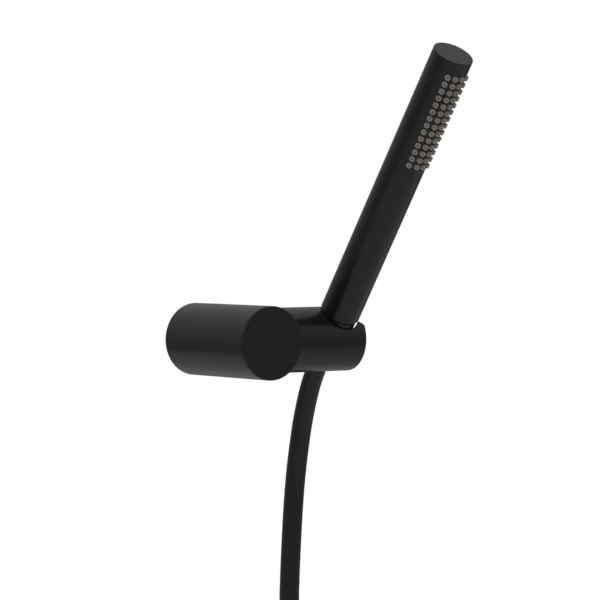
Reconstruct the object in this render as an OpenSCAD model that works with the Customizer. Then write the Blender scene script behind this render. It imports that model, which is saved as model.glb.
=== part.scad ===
// Hand shower standing in a wall holder whose arm swivels, with its hose. Millimetres.
// Origin: centre of the post's rear end on the wall. The wall is the plane y = 0 and the room is
// toward -Y. +Z is up. The arm runs toward +X.

/* [Post] */
// Diameter of the post that stands out of the wall
post_d = 50; // [46:1:56]
// Length of the post from the wall to its closed front
post_len = 90; // [86:1:110]
// Wall thickness of the post
post_wall = 3; // [2.5:0.5:4]
// Thickness of the post's front disc
front_t = 4; // [3:0.5:6]
// Rounding of the post's front edge
post_edge = 1; // [0.4:0.1:2]
// Length that the side stub reaches past the side of the post
stub_past = 2.5; // [1.5:0.5:8]

/* [Arm] */
// Diameter of the arm and of the post's side stub
arm_d = 45; // [42:0.5:46]
// Distance of the arm's axis from the wall
arm_off = 55; // [50:1:60]
// Distance of the arm's free end from the middle of the post
arm_end = 90.3; // [90:0.1:100]
// Rounding of the arm's end edge
arm_edge = 0.5; // [0.3:0.1:1]
// Gap in the seam between the stub and the arm
seam_gap = 0.3; // [0.2:0.1:0.6]

/* [Swivel] */
// Diameter of the spindle on which the arm turns
spindle_d = 16; // [14:0.5:18]
// Length of the spindle inside the arm
spindle_reach = 23; // [20:1:24]
// Depth of the spindle's seat in the stub
spindle_seat = 8; // [6:1:10]
// Diameter of the spindle's threaded tail
tail_d = 12; // [10:1:12]
// Diameter of the boss inside the post that carries the spindle
boss_d = 26; // [24:1:30]
// Distance of the boss's inner face from the middle of the post
boss_in = 3; // [2:0.5:6]
// Wall of the friction bush
bush_wall = 2; // [1.5:0.5:3]
// Diameter of the bush's flange
flange_d = 30; // [26:1:34]
// Thickness of the bush's flange
flange_t = 1.2; // [1:0.1:2]
// Distance of the spindle's groove from the seam
groove_at = 15; // [12:1:16]
// Depth of the spindle's groove
groove_depth = 2; // [1:0.5:2.5]
// Thread diameter of both set screws
grub_d = 5; // [4:0.5:6]

/* [Wall fixing] */
// Distance between the two screw holes in the wall plate
screw_spacing = 26; // [22:1:28]
// Diameter of the screw holes
screw_hole_d = 5.2; // [4:0.2:5.6]
// Diameter of the countersink for the screw heads
screw_head_d = 10; // [8:0.5:10]
// Thickness of the wall plate
plate_t = 4; // [3.5:0.5:6]
// Height of the wall plate's rim inside the post
hub_h = 14; // [12:1:18]
// Thickness of the rim
hub_wall = 2.5; // [2:0.5:3]

/* [Hand shower] */
// Diameter of the hand shower
wand_d = 27.8; // [27.6:0.1:29]
// Length of the hand shower's barrel
wand_len = 210.8; // [190:0.2:240]
// Wall thickness of the barrel
wand_wall = 1.8; // [1.5:0.1:2.2]
// Thickness of the barrel's closed top
wand_top_t = 2.5; // [2:0.5:4]
// Rounding of the barrel's edges
wand_edge = 0.5; // [0.3:0.1:1]
// Lean of the hand shower toward the room
wand_lean = 35; // [25:1:45]
// Distance of the hand shower's axis from the middle of the post
wand_x = 74.3; // [73.5:0.1:75]
// Gap between the barrel's lower rim and the top of the arm
wand_gap = 0.1; // [0:0.1:1]

/* [Spray face] */
// Number of nozzle rows along the barrel
rows = 14; // [8:1:16]
// Number of nozzle columns round the barrel
cols = 4; // [2:1:4]
// Distance between rows
row_pitch = 5.3; // [5:0.1:6]
// Distance of the first row from the top of the barrel
first_row = 11.3; // [9:0.1:20]
// Angle between columns
col_step = 22; // [21.5:0.5:26]
// Diameter of a nozzle
nozzle_d = 3.9; // [3:0.1:4.1]
// Width of the sunk ring round each nozzle
ring_w = 0.45; // [0.2:0.05:0.5]
// Depth of the sunk ring
ring_depth = 0.7; // [0.5:0.1:0.9]
// Height of the nozzles above the barrel
nozzle_proud = 1.6; // [1:0.1:2.5]
// Diameter of the jet hole in each nozzle
jet_d = 1.1; // [0.8:0.1:1.4]
// Thickness of the silicone mat
mat_t = 0.9; // [0.7:0.1:1.2]
// Wall thickness of the water chamber behind the mat
chamber_wall = 1.4; // [1:0.1:2]

/* [Socket] */
// Diameter of the socket hole in the arm
socket_d = 27.6; // [27.2:0.1:28]
// Width of the slot through which the hose enters the socket
slot_w = 16.8; // [15.2:0.2:18]
// Width of the slot's mouth at the arm's end
mouth_w = 22; // [19:0.5:24]
// Length of the flared mouth
mouth_len = 4; // [2:0.5:5]
// Height of the liner's upper end above the arm's axis
liner_top = 12; // [8:1:13]
// Distance of the liner's lower end below the arm's axis
liner_low = 13; // [10:1:14]

/* [Hose and its cone nut] */
// Diameter of the hose
hose_d = 14; // [12:0.5:14.5]
// Diameter of the cone nut's collar
collar_d = 25.4; // [25:0.1:26]
// Height of the collar
collar_h = 6.9; // [5:0.1:8]
// Diameter of the cone below the collar
cone_top_d = 24.6; // [24:0.1:25]
// Diameter of the cone's lower end
cone_low_d = 19.2; // [18.8:0.1:19.6]
// Gap between the cone nut and the hand shower's lower rim
cone_gap = 1.6; // [1:0.1:3]
// Distance of the cone's lower end below the arm's axis
cone_low = 16; // [15:0.5:18]
// Major diameter of the G1/2 threads
thread_d = 20.95; // [20.9:0.01:21]
// Length of the inlet nipple's thread
nipple_len = 11.5; // [9:0.5:13]
// Length of the plug that holds the nipple in the barrel
plug_len = 17; // [14:1:22]
// Diameter of the water way in the fittings
bore_d = 9; // [7:0.5:9.5]
// Diameter of the recess for the check valve and the flow limiter
valve_d = 14; // [12:0.5:15]
// Thickness of the sealing washers
washer_t = 2.5; // [2:0.5:3]
// Thickness of the hose fittings' flanges
fitting_t = 3; // [2:0.5:4]
// Radius of the put-away coil at the middle of the hose
coil_r = 82; // [75:1:84]
// Number of turns in the coil
coil_turns = 2.25; // [2:0.25:3]
// Distance between the coil's turns
coil_pitch = 14.2; // [14.2:0.1:16]
// Width across the flats of the far nut
far_nut_af = 24; // [23:0.5:27]
// Length of the far nut
far_nut_len = 18; // [16:1:22]
// Thickness of the coil's tie
tie_t = 1.2; // [0.8:0.1:1.5]
// Width of the coil's tie
tie_w = 12; // [8:1:16]

/* [Hidden] */
$fn = 72;

// Clearances: pushed together by hand, running, and between a cord or soft piece and what holds it
fit = 0.1;
run = 0.05;
loose = 0.3;
cut = 1;                                   // how far a cutting shape runs past the face it cuts

black = "#3a3a3a";
black_hose = "#2b2b2b";
brass = "#b8955a";
steel = "#8f9194";
nylon = "#d8d4c8";
silicone = "#b4aea6";

post_r = post_d / 2;
cavity_r = post_r - post_wall;
hub_r = cavity_r - fit;
hub_groove = 1;                            // depth of the groove for the set screw's point
grub_y = hub_h / 2;                        // set screw's distance from the wall
arm_r = arm_d / 2;
seam_x = post_r + stub_past;
arm_start = seam_x + seam_gap;
bush_r = spindle_d / 2 + run + bush_wall;
bush_len = spindle_reach - seam_gap;
nut_h = 7;                                 // M12 lock nut
lock_t = 1.5;
wand_r = wand_d / 2;
bore_r = wand_r - wand_wall;               // inside of the barrel
base_s = arm_r + wand_gap;                 // heights along the hand shower start at the arm's axis
top_s = base_s + wand_len;
mat_r = bore_r - fit;
chamber_r = mat_r - mat_t - fit;
plug_top = base_s + plug_len;
nipple_low = base_s - nipple_len;
cone_top = base_s - cone_gap;
collar_low = cone_top - collar_h;
cone_slope = (cone_top_d - cone_low_d) / 2 / (collar_low + cone_low);
washer_top = nipple_low - fit;
fitting_top = washer_top - washer_t - fit;
fitting_low = fitting_top - fitting_t;     // the nut's inner shoulder is just below the flange
fitting_r = cone_low_d / 2 - 1.5;
row_span = (rows - 1) * row_pitch;
col_span = (cols - 1) * col_step;

// Hanging stretch of the hose, from the cone nut to the coil
function on_axis(s) = [wand_x, -arm_off - s * sin(wand_lean), s * cos(wand_lean)];
hose_points = [
    [74.3, -39.6, -23.7], [74.3, -36.3, -29.5], [74.3, -33, -36.7], [74.3, -30.2, -44],
    [74.3, -25.6, -58], [74.3, -22, -72.5], [74.3, -19, -87], [74.3, -16.6, -101],
    [74.3, -14.7, -115.5], [74.3, -13.2, -130], [74.3, -12, -144], [74.3, -10.9, -158.5],
    [74.3, -10, -173], [74.3, -9.5, -187], [76, -9.3, -207], [81.5, -9.3, -223.4],
    [90, -9.3, -238.2], [101.5, -9.3, -251], [115.3, -9.3, -261],
];
hose_route = concat([on_axis(-cone_low), on_axis(-cone_low - 3)], hose_points);
hose_sides = 12;

// The coil hangs in a plane parallel to the wall, with its middle under the hanging stretch
coil_in = 60;                              // angle at which the hose joins the coil
coil_at = hose_points[len(hose_points) - 1]
    - [coil_r * cos(coil_in), 0, coil_r * sin(coil_in)];
coil_w = coil_turns * coil_pitch;          // between the first and the last strand
coil_out = coil_in - 360 * coil_turns;     // angle at which the free end leaves
tie_angle = 30;
end_len = 71.6;
end_from = coil_at + [coil_r * cos(coil_out), -coil_w, coil_r * sin(coil_out)];
end_dir = [sin(coil_out), 0, -cos(coil_out)];
far_turn = 180 - coil_out;                 // turns +Z into end_dir
sleeve_len = 16;                           // of the far fitting
nut_back = 10;                             // start of the far nut along the fitting
far_washer_top = sleeve_len + fitting_t + fit + washer_t;

function unit(v) = v / norm(v);
function dir_at(p, i) = unit(p[min(i + 1, len(p) - 1)] - p[max(i - 1, 0)]);
function ring(p, i, r, n) =
    let (t = dir_at(p, i), u = unit(cross(t, [1, 0, 0])), v = cross(t, u))
    [for (k = [0:n - 1]) p[i] + r * (cos(360 * k / n) * u + sin(360 * k / n) * v)];

module from_wall() rotate([90, 0, 0]) children();
module along_arm() translate([0, -arm_off, 0]) rotate([0, 90, 0]) children();
module on_wand() translate([wand_x, -arm_off, 0]) rotate([wand_lean, 0, 0]) children();
module at_far() translate(end_from + end_len * end_dir) rotate([0, far_turn, 0]) children();

// Half profile of a round bar from height 0 to h, with a rounded upper edge
module bar_profile(r, h, edge) {
    square([r - edge, h]);
    square([r, h - edge]);
    translate([r - edge, h - edge]) circle(edge);
}

// Half profile of a ring
module ring_profile(r_in, r_out, low, high) translate([r_in, low]) square([r_out - r_in, high - low]);

// Set screw along +Z with its tip at 0, a cone point and a hexagon socket
module set_screw(d, h) difference() {
    union() {
        cylinder(d1 = d * 0.5, d2 = d, h = d * 0.25);
        translate([0, 0, d * 0.25]) cylinder(d = d, h = h - d * 0.25);
    }
    translate([0, 0, h - d * 0.5]) cylinder(d = d * 0.55, h = d, $fn = 6);
}

// Places its children at each nozzle, with +Z pointing out of the barrel and 0 on its axis
module at_nozzles()
    for (i = [0:rows - 1], k = [0:cols - 1])
        translate([0, 0, top_s - first_row - i * row_pitch])
            rotate([0, 0, k * col_step - col_span / 2]) rotate([90, 0, 0]) children();

// Plate and rim on the wall, inside the post's rear end
module wall_plate() color(steel) from_wall() difference() {
    rotate_extrude() {
        ring_profile(0, hub_r, 0, plate_t);
        ring_profile(hub_r - hub_wall, hub_r, 0, hub_h);
    }
    for (side = [-1, 1]) translate([side * screw_spacing / 2, 0, 0]) {
        translate([0, 0, -cut]) cylinder(d = screw_hole_d, h = plate_t + 2 * cut);
        translate([0, 0, plate_t - (screw_head_d - screw_hole_d) / 2])
            cylinder(d1 = screw_hole_d, d2 = screw_head_d, h = (screw_head_d - screw_hole_d) / 2);
    }
    // groove into which the set screw's point goes
    rotate_extrude() ring_profile(hub_r - hub_groove, hub_r + cut, grub_y - grub_d / 2 - loose,
                                  grub_y + grub_d / 2 + loose);
}

// Round post, closed at the front, and the side stub in one casting
module post_body() color(black) difference() {
    union() {
        difference() {
            union() {
                from_wall() rotate_extrude() bar_profile(post_r, post_len, post_edge);
                along_arm() cylinder(r = arm_r, h = seam_x);
            }
            from_wall() translate([0, 0, -cut]) cylinder(r = cavity_r, h = post_len - front_t + cut);
        }
        along_arm() translate([0, 0, boss_in]) cylinder(d = boss_d, h = seam_x - boss_in);
    }
    along_arm() {
        translate([0, 0, boss_in - cut]) cylinder(r = tail_d / 2 + run, h = seam_x);
        translate([0, 0, seam_x - spindle_seat]) cylinder(r = spindle_d / 2 + run, h = spindle_seat + cut);
    }
    translate([0, -grub_y, -post_r - cut]) cylinder(r = grub_d / 2 + run, h = post_wall * 2 + cut);
}

module post_grub_screw() color(steel)
    translate([0, -grub_y, -hub_r + hub_groove - run]) rotate([180, 0, 0])
        set_screw(grub_d, post_r - hub_r + hub_groove - 0.4);

// Pivot pin with a shouldered seat, a threaded tail and a groove for the arm's set screw
module swivel_spindle() color(steel) along_arm() difference() {
    union() {
        translate([0, 0, boss_in - lock_t - nut_h - 1]) cylinder(d = tail_d, h = seam_x);
        translate([0, 0, seam_x - spindle_seat]) cylinder(d = spindle_d, h = spindle_seat + spindle_reach);
    }
    translate([0, 0, seam_x + groove_at]) rotate_extrude()
        ring_profile(spindle_d / 2 - groove_depth, spindle_d, -grub_d / 2 - loose, grub_d / 2 + loose);
}

module spindle_washer() color(steel) along_arm() translate([0, 0, boss_in - lock_t]) rotate_extrude()
    ring_profile(tail_d / 2 + run, tail_d, 0, lock_t);

module spindle_nut() color(steel) along_arm() translate([0, 0, boss_in - lock_t - nut_h]) difference() {
    cylinder(d = tail_d * 1.73, h = nut_h, $fn = 6);
    translate([0, 0, -cut]) cylinder(r = tail_d / 2 + run, h = nut_h + 2 * cut);
}

// Flanged bush: the arm turns stiffly on it, and it fills the seam round the spindle
module friction_bush() color(nylon) along_arm() difference() {
    translate([0, 0, seam_x + fit]) rotate_extrude() {
        ring_profile(spindle_d / 2 + run, bush_r, 0, bush_len);
        ring_profile(spindle_d / 2 + run, flange_d / 2, 0, flange_t + seam_gap);
    }
    translate([0, 0, seam_x + groove_at]) rotate([0, 90, 0]) cylinder(r = grub_d / 2 + fit, h = arm_r);
}

// Bar that turns on the spindle, with the socket, the hose's entry slot and its flared mouth
module arm() color(black) difference() {
    along_arm() translate([0, 0, arm_start]) rotate_extrude() bar_profile(arm_r, arm_end - arm_start, arm_edge);
    along_arm() {
        translate([0, 0, seam_x]) cylinder(r = bush_r + run, h = spindle_reach + fit * 2);
        translate([0, 0, seam_x]) cylinder(r = flange_d / 2 + fit, h = flange_t + seam_gap + fit * 2);
        translate([0, 0, seam_x + groove_at]) rotate([0, 90, 0]) cylinder(r = grub_d / 2 + run, h = arm_r + cut);
    }
    on_wand() {
        translate([0, 0, -liner_low]) cylinder(d = socket_d, h = liner_low + arm_r + cut);
        translate([0, 0, -arm_r - cut]) cylinder(r = cone_low_d / 2 + 0.6, h = arm_r);
        translate([0, -slot_w / 2, -arm_r - cut]) cube([arm_end - wand_x + cut, slot_w, arm_d + 2 * cut]);
        translate([0, 0, -arm_r - cut]) linear_extrude(arm_d + 2 * cut)
            polygon([[arm_end - wand_x - mouth_len, -slot_w / 2], [arm_end - wand_x, -mouth_w / 2],
                     [arm_end - wand_x + cut, -mouth_w / 2], [arm_end - wand_x + cut, mouth_w / 2],
                     [arm_end - wand_x, mouth_w / 2], [arm_end - wand_x - mouth_len, slot_w / 2]]);
    }
}

// The set screw's point runs in the spindle's groove
module arm_grub_screw() color(steel) along_arm()
    translate([0, 0, seam_x + groove_at]) rotate([0, 90, 0])
        translate([0, 0, spindle_d / 2 - groove_depth + loose])
            set_screw(grub_d, arm_r - spindle_d / 2 + groove_depth - loose - 0.5);

// C-shaped seat with a conical bore, open toward the entry slot
module cone_liner() color("#1c1c1c") on_wand() difference() {
    translate([0, 0, -liner_low + fit]) cylinder(r = socket_d / 2 - fit, h = liner_top + liner_low - fit);
    translate([0, 0, -cone_low])
        cylinder(d1 = cone_low_d + 3 * fit, d2 = cone_top_d + 3 * fit, h = collar_low + cone_low);
    translate([0, -slot_w / 2, -liner_low - cut]) cube([socket_d, slot_w, liner_top + liner_low + 2 * cut]);
}

// Barrel of the hand shower, open below, with a hole for each nozzle
module wand_body() color(black) on_wand() difference() {
    translate([0, 0, base_s]) rotate_extrude() {
        difference() {
            bar_profile(wand_r, wand_len, wand_edge);
            square([bore_r, wand_len - wand_top_t]);
            translate([wand_r - wand_edge, 0]) difference() {
                square(wand_edge);
                translate([0, wand_edge]) circle(wand_edge);
            }
        }
    }
    at_nozzles() {
        translate([0, 0, bore_r - 0.5]) cylinder(r = nozzle_d / 2 + fit, h = wand_wall + 0.5 + cut);
        translate([0, 0, wand_r - ring_depth]) cylinder(r = nozzle_d / 2 + ring_w, h = ring_depth + cut);
    }
}

// Silicone mat inside the barrel with all the nozzles
module nozzle_mat() color(silicone) on_wand() difference() {
    union() {
        translate([0, 0, top_s - first_row - row_span - row_pitch])
            rotate([0, 0, -90 - col_span / 2 - 14])
                rotate_extrude(angle = col_span + 28)
                    ring_profile(mat_r - mat_t, mat_r, 0, row_span + 2 * row_pitch);
        at_nozzles() {
            translate([0, 0, mat_r - mat_t / 2]) cylinder(d = nozzle_d, h = wand_r + nozzle_proud * 0.6 - mat_r + mat_t / 2);
            translate([0, 0, wand_r + nozzle_proud * 0.6])
                cylinder(d1 = nozzle_d, d2 = nozzle_d - 0.5, h = nozzle_proud * 0.4);
        }
    }
    at_nozzles() {
        translate([0, 0, mat_r - mat_t - cut]) cylinder(d = jet_d, h = wand_r);
        translate([0, 0, wand_r + nozzle_proud - 0.35]) cylinder(d1 = jet_d, d2 = jet_d + 1.5, h = 0.36);
    }
}

// Water tube on the inlet plug, with a window toward the mat
module spray_chamber() color(nylon) on_wand() difference() {
    translate([0, 0, plug_top + fit]) rotate_extrude() difference() {
        square([chamber_r, top_s - wand_top_t - loose - plug_top - fit]);
        square([chamber_r - chamber_wall, top_s - wand_top_t - loose - plug_top - fit - chamber_wall]);
    }
    translate([-chamber_r * 0.75, -chamber_r - cut, top_s - first_row - row_span - row_pitch / 2])
        cube([chamber_r * 1.5, chamber_r, row_span + row_pitch]);
}

// Threaded nipple and the plug that closes the barrel
module inlet_connector() color(brass) on_wand() rotate_extrude() difference() {
    union() {
        ring_profile(0, thread_d / 2 - fit / 2, nipple_low, base_s + fit);
        ring_profile(0, bore_r - fit, base_s + fit, plug_top);
    }
    ring_profile(0, bore_d / 2, nipple_low - cut, plug_top + cut);
    ring_profile(0, valve_d / 2, nipple_low - cut, base_s + 4);
    ring_profile(bore_r - fit - 1.6, bore_r + cut, plug_top - 8, plug_top - 5.4);
}

module connector_oring() color("#141414") on_wand() translate([0, 0, plug_top - 6.7]) rotate_extrude()
    translate([bore_r - fit - 0.85, 0]) circle(0.75);

module check_valve() color(nylon) on_wand() rotate_extrude() difference() {
    ring_profile(0, valve_d / 2 - fit, nipple_low + 5, base_s + 4 - fit);
    ring_profile(0, valve_d / 2 - 3, nipple_low + 4, nipple_low + 11);
    ring_profile(2, valve_d / 2 - 1.5, nipple_low + 13, base_s + 5);
}

module flow_limiter() color("#3f7f5a") on_wand() difference() {
    translate([0, 0, nipple_low + fit]) cylinder(r = valve_d / 2 - fit, h = 4.6);
    for (a = [0:45:315]) rotate([0, 0, a]) translate([valve_d / 4, 0, nipple_low - cut]) cylinder(d = 2, h = 8);
}

// Conical nut of the hose: collar, cone, thread above the flange and a shoulder below it
module hose_cone_nut() color(black) on_wand() rotate_extrude() difference() {
    union() {
        translate([0, collar_low]) bar_profile(collar_d / 2, collar_h, 0.5);
        polygon([[0, -cone_low], [cone_low_d / 2, -cone_low], [cone_top_d / 2, collar_low], [0, collar_low]]);
    }
    ring_profile(0, fitting_r + loose, -cone_low - cut, fitting_low);
    ring_profile(0, thread_d / 2, fitting_low - fit, cone_top + cut);
}

module hose_washer() color("#141414") on_wand() rotate_extrude()
    ring_profile(bore_d / 2, thread_d / 2 - loose, washer_top - washer_t, washer_top);

// Swivelling end fitting pressed on the hose, held by the cone nut's shoulder
module hose_fitting() color(steel) on_wand() rotate_extrude() {
    ring_profile(bore_d / 2, thread_d / 2 - loose, fitting_low, fitting_top);
    ring_profile(bore_d / 2, fitting_r, -cone_low, fitting_low);
}

// Hanging stretch of the hose
module hose_tube() color(black_hose) polyhedron(
    points = [for (i = [0:len(hose_route) - 1]) each ring(hose_route, i, hose_d / 2, hose_sides)],
    faces = concat(
        [[for (k = [0:hose_sides - 1]) k]],
        [[for (k = [hose_sides - 1:-1:0]) (len(hose_route) - 1) * hose_sides + k]],
        [for (i = [0:len(hose_route) - 2], k = [0:hose_sides - 1])
            let (a = i * hose_sides, b = a + hose_sides, n = (k + 1) % hose_sides)
            [a + k, b + k, b + n, a + n]]));

// Outline across the coil's strands, which lie side by side
module strands(r) {
    circle(r);
    translate([0, coil_w]) circle(r);
    translate([-r, 0]) square([2 * r, coil_w]);
}

module hose_coil() color(black_hose) translate(coil_at) rotate([90, 0, 0])
    rotate_extrude() translate([coil_r, 0]) strands(hose_d / 2);

module hose_end() color(black_hose) translate(end_from) rotate([0, far_turn, 0])
    cylinder(d = hose_d, h = end_len);

module coil_tie() color("#202020") translate(coil_at) rotate([0, -tie_angle, 0]) rotate([90, 0, 0])
    translate([coil_r, tie_w / 2, 0]) rotate([90, 0, 0]) linear_extrude(tie_w) difference() {
        strands(hose_d / 2 + loose + tie_t);
        strands(hose_d / 2 + loose);
    }

module far_fitting() color(steel) at_far() rotate_extrude() {
    ring_profile(bore_d / 2, fitting_r, 0, sleeve_len);
    ring_profile(bore_d / 2, thread_d / 2 - loose, sleeve_len, sleeve_len + fitting_t);
}

// Hexagon nut with rounded corners for the wall outlet
module far_nut() color(black) at_far() difference() {
    intersection() {
        translate([0, 0, nut_back]) cylinder(d = far_nut_af / cos(30), h = far_nut_len, $fn = 6);
        translate([0, 0, nut_back]) rotate_extrude() bar_profile(far_nut_af / cos(30) / 2 - 0.6, far_nut_len, 1);
    }
    translate([0, 0, nut_back - cut]) cylinder(r = fitting_r + loose, h = far_nut_len);
    translate([0, 0, sleeve_len - fit]) cylinder(d = thread_d, h = far_nut_len);
    // relief round the flange and the washer, so that the thread starts in front of them
    translate([0, 0, sleeve_len - fit]) cylinder(r = thread_d / 2 + 0.4, h = far_washer_top + 2 * fit - sleeve_len);
}

module far_washer() color("#141414") at_far() rotate_extrude()
    ring_profile(bore_d / 2, thread_d / 2 - loose, far_washer_top - washer_t, far_washer_top);

wall_plate();
post_body();
post_grub_screw();
swivel_spindle();
spindle_washer();
spindle_nut();
friction_bush();
arm();
arm_grub_screw();
cone_liner();
wand_body();
nozzle_mat();
spray_chamber();
inlet_connector();
connector_oring();
check_valve();
flow_limiter();
hose_cone_nut();
hose_washer();
hose_fitting();
hose_tube();
hose_coil();
hose_end();
coil_tie();
far_fitting();
far_nut();
far_washer();
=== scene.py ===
# Hand shower standing in a wall holder with a swivelling arm, in matt black, with its hose.
# Metres. The wall is the plane y = 0, the room is toward -Y, +Z is up and the arm runs toward +X.
import math

import bmesh
import bpy
from mathutils import Matrix, Vector


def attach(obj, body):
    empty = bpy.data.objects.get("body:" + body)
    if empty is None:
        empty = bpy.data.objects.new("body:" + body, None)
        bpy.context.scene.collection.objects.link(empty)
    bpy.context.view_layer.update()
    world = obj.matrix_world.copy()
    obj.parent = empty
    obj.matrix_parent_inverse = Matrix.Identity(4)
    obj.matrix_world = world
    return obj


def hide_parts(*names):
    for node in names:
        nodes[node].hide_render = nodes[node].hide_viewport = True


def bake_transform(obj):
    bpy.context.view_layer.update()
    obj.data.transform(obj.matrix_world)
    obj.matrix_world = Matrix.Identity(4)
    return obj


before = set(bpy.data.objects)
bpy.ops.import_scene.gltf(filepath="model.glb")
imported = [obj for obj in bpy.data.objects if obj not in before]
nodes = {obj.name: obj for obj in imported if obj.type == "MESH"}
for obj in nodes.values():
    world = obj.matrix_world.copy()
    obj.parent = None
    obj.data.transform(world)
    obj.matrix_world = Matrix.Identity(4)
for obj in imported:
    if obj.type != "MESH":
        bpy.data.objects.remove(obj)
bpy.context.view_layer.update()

# Camera: from the left of the arm and a little above it, with a long lens, as the product picture
# was taken. The bottom edge of the view cuts the hanging hose about 190 mm below the arm.
camera = bpy.data.objects.new("camera", bpy.data.cameras.new("camera"))
bpy.context.scene.collection.objects.link(camera)
camera.data.sensor_width = 36
camera.data.lens = 166.0
camera.location = (-1.0963, -1.5761, 0.0822)
camera.rotation_euler = (math.radians(90 - 1.65), 0, math.radians(-36.99))
bpy.context.scene.camera = camera


# Hose: 1.5 m of smooth black PVC hose, 14 mm across. It leaves the underside of the arm, sinks
# toward the wall under its own weight, and its spare length is coiled and tied below the view.
def linear(hex_colour):
    """A colour node's value from an sRGB hex colour."""
    channels = [int(hex_colour[i:i + 2], 16) / 255 for i in (1, 3, 5)]
    return [c / 12.92 if c <= 0.04045 else ((c + 0.055) / 1.055) ** 2.4 for c in channels] + [1]


def add_node(tree, kind, settings=(), inputs=()):
    """Adds a node, gives it settings and sets or links its inputs."""
    node = tree.nodes.new(kind)
    for name, value in dict(settings).items():
        setattr(node, name, value)
    for name, value in dict(inputs).items():
        if isinstance(value, bpy.types.NodeSocket):
            tree.links.new(value, node.inputs[name])
        else:
            node.inputs[name].default_value = value
    return node


def finish_of(name, **shader):
    """A new material with only a shader, and its tree, shader and object coordinates."""
    material = bpy.data.materials.new(name)
    material.use_nodes = True
    tree = material.node_tree
    tree.nodes.clear()
    surface = add_node(tree, "ShaderNodeBsdfPrincipled",
                       inputs={key.replace("_", " ").title().replace("Ior", "IOR"): value
                               for key, value in shader.items()})
    add_node(tree, "ShaderNodeOutputMaterial", inputs={"Surface": surface.outputs[0]})
    return material, tree, surface, add_node(tree, "ShaderNodeTexCoord").outputs["Object"]


def speckle(tree, place, millimetres, detail=2.0):
    """Noise whose grains are about so many millimetres across."""
    return add_node(tree, "ShaderNodeTexNoise",
                    inputs={"Vector": place, "Scale": 1000 / millimetres, "Detail": detail}).outputs["Fac"]


def spread(tree, value, low, high):
    """Maps 0 to 1 on to low to high."""
    return add_node(tree, "ShaderNodeMapRange",
                    inputs={"Value": value, "To Min": low, "To Max": high}).outputs["Result"]


def bump(tree, height, depth):
    """A normal from a height map whose full height is depth metres."""
    return add_node(tree, "ShaderNodeBump",
                    inputs={"Height": height, "Strength": 1.0, "Distance": depth}).outputs["Normal"]


def shown(name, bm, material, body, replaced=(), smooth=35):
    """Makes a mesh a finished piece: smooth but for its sharp edges, on its body, with its finish."""
    mesh = bpy.data.meshes.new(name)
    bm.to_mesh(mesh)
    bm.free()
    piece = bpy.data.objects.new(name, mesh)
    bpy.context.scene.collection.objects.link(piece)
    mesh.materials.append(material)
    mesh.shade_smooth()
    mesh.set_sharp_from_angle(angle=math.radians(smooth))
    if body:
        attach(piece, body)
    if replaced:
        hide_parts(*replaced)
    return piece


hose_width = 0.014
hang = [
    (74.3, -45.8, -13.1), (74.3, -44.1, -15.6), (74.3, -39.6, -23.7), (74.3, -36.3, -29.5),
    (74.3, -33, -36.7), (74.3, -30.2, -44), (74.3, -25.6, -58), (74.3, -22, -72.5),
    (74.3, -19, -87), (74.3, -16.6, -101), (74.3, -14.7, -115.5), (74.3, -13.2, -130),
    (74.3, -12, -144), (74.3, -10.9, -158.5), (74.3, -10, -173), (74.3, -9.5, -187),
    (76, -9.3, -207), (81.5, -9.3, -223.4), (90, -9.3, -238.2), (101.5, -9.3, -251),
    (115.3, -9.3, -261),
]
coil_radius, coil_turns, coil_pitch, coil_start = 82, 2.25, 14.2, 60
free_end = 71.6
coil_middle = Vector(hang[-1]) - coil_radius * Vector(
    (math.cos(math.radians(coil_start)), 0, math.sin(math.radians(coil_start))))
route = [Vector(point) for point in hang]
steps = 20
for i in range(1, int(coil_turns * steps) + 1):
    angle = math.radians(coil_start - 360 * i / steps)
    route.append(coil_middle + Vector((coil_radius * math.cos(angle), -coil_pitch * i / steps,
                                       coil_radius * math.sin(angle))))
away = Vector((math.sin(angle), 0, -math.cos(angle)))
route += [route[-1] + away * free_end * share for share in (0.34, 0.67, 1)]
line = bpy.data.curves.new("hose", "CURVE")
line.dimensions = "3D"
line.resolution_u = 5
spline = line.splines.new("BEZIER")
spline.bezier_points.add(len(route) - 1)
for knot, point in zip(spline.bezier_points, route):
    knot.co = point / 1000
    knot.handle_left_type = knot.handle_right_type = "AUTO"
centre = bpy.data.objects.new("hose_line", line)
bpy.context.scene.collection.objects.link(centre)
hose_path = [tuple(v.co) for v in bpy.data.meshes.new_from_object(
    centre.evaluated_get(bpy.context.evaluated_depsgraph_get())).vertices]
line.bevel_depth = hose_width / 2
line.bevel_resolution = 8
line.use_fill_caps = True
tube = bmesh.new()
tube.from_mesh(bpy.data.meshes.new_from_object(
    centre.evaluated_get(bpy.context.evaluated_depsgraph_get())))
bmesh.ops.remove_doubles(tube, verts=tube.verts, dist=1e-6)
bpy.data.objects.remove(centre)

# Extruded plasticised PVC: smooth and a little glossier than the painted metal, with the faint
# long waves that the extruder leaves.
pvc, tree, surface, place = finish_of("extruded_black_pvc", base_color=linear("#1b1b1c"),
                                      roughness=0.3, ior=1.53)
tree.links.new(spread(tree, speckle(tree, place, 6), 0.27, 0.34), surface.inputs["Roughness"])
tree.links.new(bump(tree, speckle(tree, place, 9, 0), 0.00004), surface.inputs["Normal"])
hose = shown("hose", tube, pvc, None, ("hose_tube", "hose_coil", "hose_end"))
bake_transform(hose)

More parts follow.
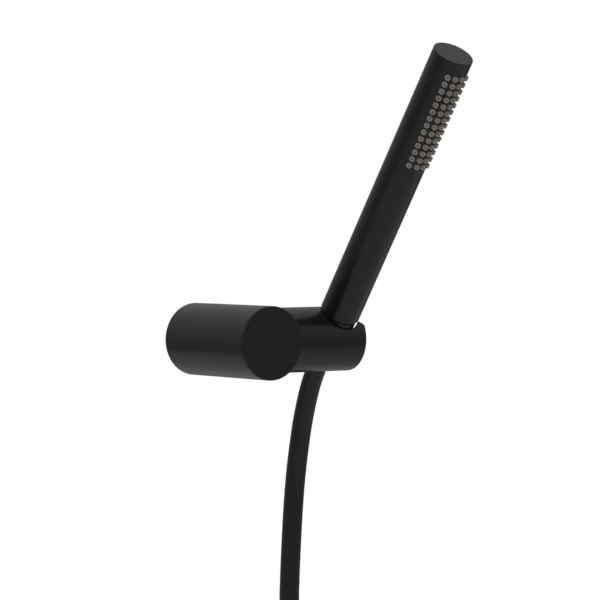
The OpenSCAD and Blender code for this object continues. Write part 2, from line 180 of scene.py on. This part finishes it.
# Barrel: brass tube with a closed, flat top, finished in satin matt black powder coat, with a
# round recess punched for each nozzle.
coat, tree, surface, place = finish_of("satin_black_powder_coat", base_color=linear("#1e1e1f"),
                                       roughness=0.3, ior=1.5)
orange_peel = speckle(tree, place, 0.8)
tree.links.new(spread(tree, speckle(tree, place, 25), 0.26, 0.31), surface.inputs["Roughness"])
tree.links.new(bump(tree, orange_peel, 0.000004), surface.inputs["Normal"])
for name in ("wand_body", "post_body", "arm", "hose_cone_nut", "far_nut"):
    nodes[name].data.materials[0] = coat

# Nozzles: one silicone mat inside the barrel, moulded with its nozzles.
silicone, tree, surface, place = finish_of("moulded_grey_silicone", base_color=linear("#b4aca3"),
                                           roughness=0.45, ior=1.41)
nodes["nozzle_mat"].data.materials[0] = silicone

# Studio: plain pale floor well below the wall piece, and a white surround
floor = bmesh.new()
bmesh.ops.create_circle(floor, cap_ends=True, segments=96, radius=1.6)
bmesh.ops.translate(floor, verts=floor.verts, vec=(0, 0, -0.62))
pale, tree, surface, place = finish_of("pale_floor", base_color=linear("#f4f4f4"), roughness=0.8)
stand = shown("floor", floor, pale, None)

world = bpy.data.worlds.new("studio")
bpy.context.scene.world = world
world.use_nodes = True
tree = world.node_tree
tree.nodes.clear()
direction = add_node(tree, "ShaderNodeTexCoord").outputs["Generated"]
total = None
for aim, inner, outer, strength in (
    ((0, 0, 1), 0, 180, 0.5),
):
    unit = Vector(aim).normalized()
    dot = add_node(tree, "ShaderNodeVectorMath", {"operation": "DOT_PRODUCT"},
                   {0: direction, 1: unit}).outputs["Value"]
    lobe = add_node(tree, "ShaderNodeMapRange", {"interpolation_type": "SMOOTHSTEP"},
                    {"Value": dot, "From Min": math.cos(math.radians(outer)),
                     "From Max": math.cos(math.radians(inner)), "To Max": strength}).outputs["Result"]
    total = lobe if total is None else add_node(
        tree, "ShaderNodeMath", {"operation": "ADD"}, {0: total, 1: lobe}).outputs[0]
lit = add_node(tree, "ShaderNodeBackground", inputs={"Color": linear("#ffffff"), "Strength": total})
seen = add_node(tree, "ShaderNodeBackground", inputs={"Color": linear("#ffffff"), "Strength": 1.0})
mixed = add_node(tree, "ShaderNodeMixShader", inputs={
    0: add_node(tree, "ShaderNodeLightPath").outputs["Is Camera Ray"],
    1: lit.outputs[0], 2: seen.outputs[0]})
add_node(tree, "ShaderNodeOutputWorld", inputs={"Surface": mixed.outputs[0]})
bpy.context.scene.view_settings.view_transform = "Standard"
